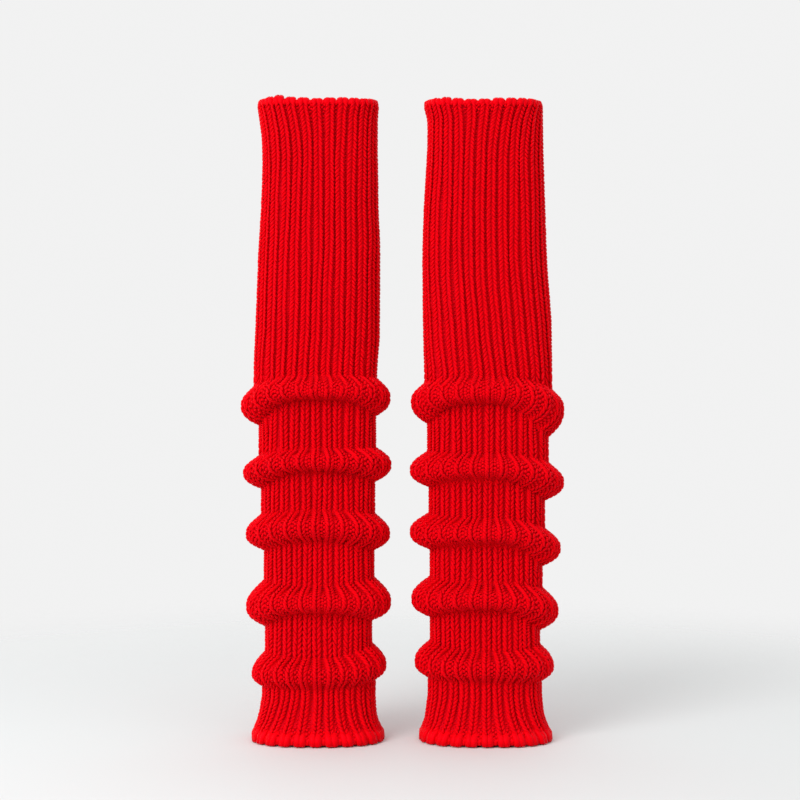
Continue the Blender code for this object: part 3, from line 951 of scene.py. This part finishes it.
def stitch_wool():
    """Plied yarn: a twist and fine fibres along each stitch, which differs a little from the next."""
    nodes = Nodes(bpy.data.materials.new("red_wool_stitches"))
    yarn = nodes.add("ShaderNodeUVMap", uv_map="yarn").outputs["UV"]
    on_yarn = nodes.parts(yarn)
    plies_round = nodes.math("MULTIPLY", on_yarn["X"], PLIES)
    turns = nodes.math("ADD", plies_round, nodes.math("MULTIPLY", on_yarn["Y"], WINDINGS))
    twist = nodes.math("SINE", nodes.math("MULTIPLY", turns, 2 * math.pi))
    stretched = nodes.feed(nodes.add("ShaderNodeMapping"), {0: yarn, "Scale": FIBRE_STRETCH})
    fibres = nodes.noise(stretched.outputs["Vector"], FIBRES)
    place = nodes.add("ShaderNodeTexCoord").outputs["Object"]
    own_shade = nodes.add("ShaderNodeAttribute", attribute_name="shade").outputs["Fac"]
    own_part = nodes.math("MULTIPLY", own_shade, OWN_SHARE)
    patch_part = nodes.math("MULTIPLY", nodes.noise(place, PATCHES), PATCH_SHARE)
    fibre_part = nodes.math("MULTIPLY", nodes.math("SUBTRACT", fibres, 0.5), FIBRE_SHARE)
    share = nodes.math("ADD", nodes.math("ADD", own_part, patch_part), fibre_part)
    relief = nodes.bump(twist, TWIST_RELIEF)
    relief = nodes.bump(fibres, FIBRE_RELIEF, relief)
    relief = nodes.bump(nodes.noise(place, FUZZ), FUZZ_RELIEF, relief)
    return woollen(nodes, nodes.colour(share, DEEP_RED, LIT_RED), relief)


def ground_wool_painted_shade():
    """The cloth behind the stitches, in rows of loops, in a darker red that is painted shade for the deep
    gaps between the stitches.
    """
    nodes = Nodes(bpy.data.materials.new("red_wool_ground_painted_shade"))
    place = nodes.add("ShaderNodeTexCoord").outputs["Object"]
    loops = nodes.noise(place, LOOPS)
    relief = nodes.bump(loops, LOOP_RELIEF)
    relief = nodes.bump(nodes.noise(place, FUZZ), GROUND_FUZZ_RELIEF, relief)
    # Painted shade: the wall runs from this darker red up to the deep red of the stitches.
    return woollen(nodes, nodes.colour(loops, GROUND_PAINTED_SHADE_RED, DEEP_RED), relief)


# Floor, light and camera, in metres

FLOOR_SIDES = 96
FLOOR_RADIUS = 1.3
FLOOR_COLOUR = (0.70, 0.72, 0.72, 1.0)
FLOOR_ROUGHNESS = 0.7
FLOOR_GLOSS = 0.2
FADE_FROM = 0.25
FADE_TO = 0.8

# The even light: its colour, and its strength from straight below and from straight above
EVEN_LIGHT = (1.0, 1.0, 1.0, 1.0)
STRENGTH_BELOW = 0.5
STRENGTH_ABOVE = 1.05
# The pale grey that is seen past the floor
PALE_GREY = (0.885, 0.885, 0.885, 1.0)

KEY_PLACE = Vector((-1.1, -1.35, 1.05))
KEY_TARGET = Vector((0.0, 0.0, 0.25))
KEY_SIZE = 1.2
KEY_POWER = 25.5

CAMERA_PLACE = (-0.0017, -1.1187, 0.2343)
SENSOR_WIDTH_MM = 36.0
FOCAL_LENGTH_MM = 72.0
NEAREST_SEEN = 0.01


def floor():
    """A pale floor that fades into the plain grey away from the pair."""
    bpy.ops.mesh.primitive_circle_add(
        vertices=FLOOR_SIDES, radius=FLOOR_RADIUS, fill_type="NGON", location=(0, 0, 0)
    )
    disc = bpy.context.object
    disc.name = "floor"
    nodes = Nodes(bpy.data.materials.new("pale_floor"))
    matt = {"Base Color": FLOOR_COLOUR, "Roughness": FLOOR_ROUGHNESS, "Specular IOR Level": FLOOR_GLOSS}
    pale = nodes.feed(nodes.own("Principled BSDF"), matt).outputs["BSDF"]
    clear = nodes.add("ShaderNodeBsdfTransparent").outputs["BSDF"]
    place = nodes.add("ShaderNodeTexCoord").outputs["Object"]
    distance = nodes.feed(nodes.add("ShaderNodeVectorMath", operation="LENGTH"), {0: place})
    fade = nodes.add("ShaderNodeMapRange", interpolation_type="SMOOTHSTEP")
    nodes.feed(fade, {"Value": distance.outputs["Value"], "From Min": FADE_FROM, "From Max": FADE_TO})
    surface = nodes.shaders(fade.outputs["Result"], pale, clear)
    nodes.feed(nodes.own("Material Output"), {"Surface": surface})
    disc.data.materials.append(nodes.owner)


def even_light():
    """A light from all round, stronger from above. Past the floor a plain pale grey is seen."""
    nodes = Nodes(bpy.data.worlds.new("studio"))
    height = nodes.parts(nodes.add("ShaderNodeTexCoord").outputs["Generated"])["Z"]
    strength = nodes.add("ShaderNodeMapRange")
    strengths = {"From Min": -1.0, "To Min": STRENGTH_BELOW, "To Max": STRENGTH_ABOVE}
    nodes.feed(strength, {"Value": height, **strengths})
    light = nodes.own("Background")
    nodes.feed(light, {"Color": EVEN_LIGHT, "Strength": strength.outputs["Result"]})
    seen = nodes.feed(nodes.add("ShaderNodeBackground"), {"Color": PALE_GREY})
    straight = nodes.add("ShaderNodeLightPath").outputs["Is Camera Ray"]
    surface = nodes.shaders(straight, light.outputs["Background"], seen.outputs["Background"])
    nodes.feed(nodes.own("World Output"), {"Surface": surface})
    bpy.context.scene.world = nodes.owner


def key_light():
    """A soft round light from the front left and above."""
    data = bpy.data.lights.new("key", "AREA")
    data.shape = "DISK"
    data.size = KEY_SIZE
    data.energy = KEY_POWER
    light = bpy.data.objects.new("key", data)
    light.location = KEY_PLACE
    light.rotation_euler = (KEY_TARGET - KEY_PLACE).to_track_quat("-Z", "Y").to_euler()
    bpy.context.scene.collection.objects.link(light)


def camera():
    """A level view from the front, with the pair in the middle."""
    data = bpy.data.cameras.new("camera")
    data.sensor_width = SENSOR_WIDTH_MM
    data.lens = FOCAL_LENGTH_MM
    data.clip_start = NEAREST_SEEN
    view = bpy.data.objects.new("camera", data)
    view.location = CAMERA_PLACE
    view.rotation_euler = (math.radians(90), 0, 0)
    bpy.context.scene.collection.objects.link(view)
    bpy.context.scene.camera = view


bpy.context.scene.view_settings.view_transform = "Standard"
camera()
even_light()
key_light()
floor()
STITCH_WOOL = stitch_wool()
GROUND_WOOL_PAINTED_SHADE = ground_wool_painted_shade()
LEFT_RINGS = tube_rings(LEFT_TOP, LEFT_ROLLS, LEFT_NECKS, LEFT_HEM)
RIGHT_RINGS = tube_rings(RIGHT_TOP, RIGHT_ROLLS, RIGHT_NECKS, RIGHT_HEM)
leg_warmer("left", LEFT_RINGS, LEFT_AXIS, LEFT_TOP_LUMPS, STITCH_WOOL, GROUND_WOOL_PAINTED_SHADE, seed=11)
leg_warmer("right", RIGHT_RINGS, RIGHT_AXIS, RIGHT_TOP_LUMPS, STITCH_WOOL, GROUND_WOOL_PAINTED_SHADE, seed=12)
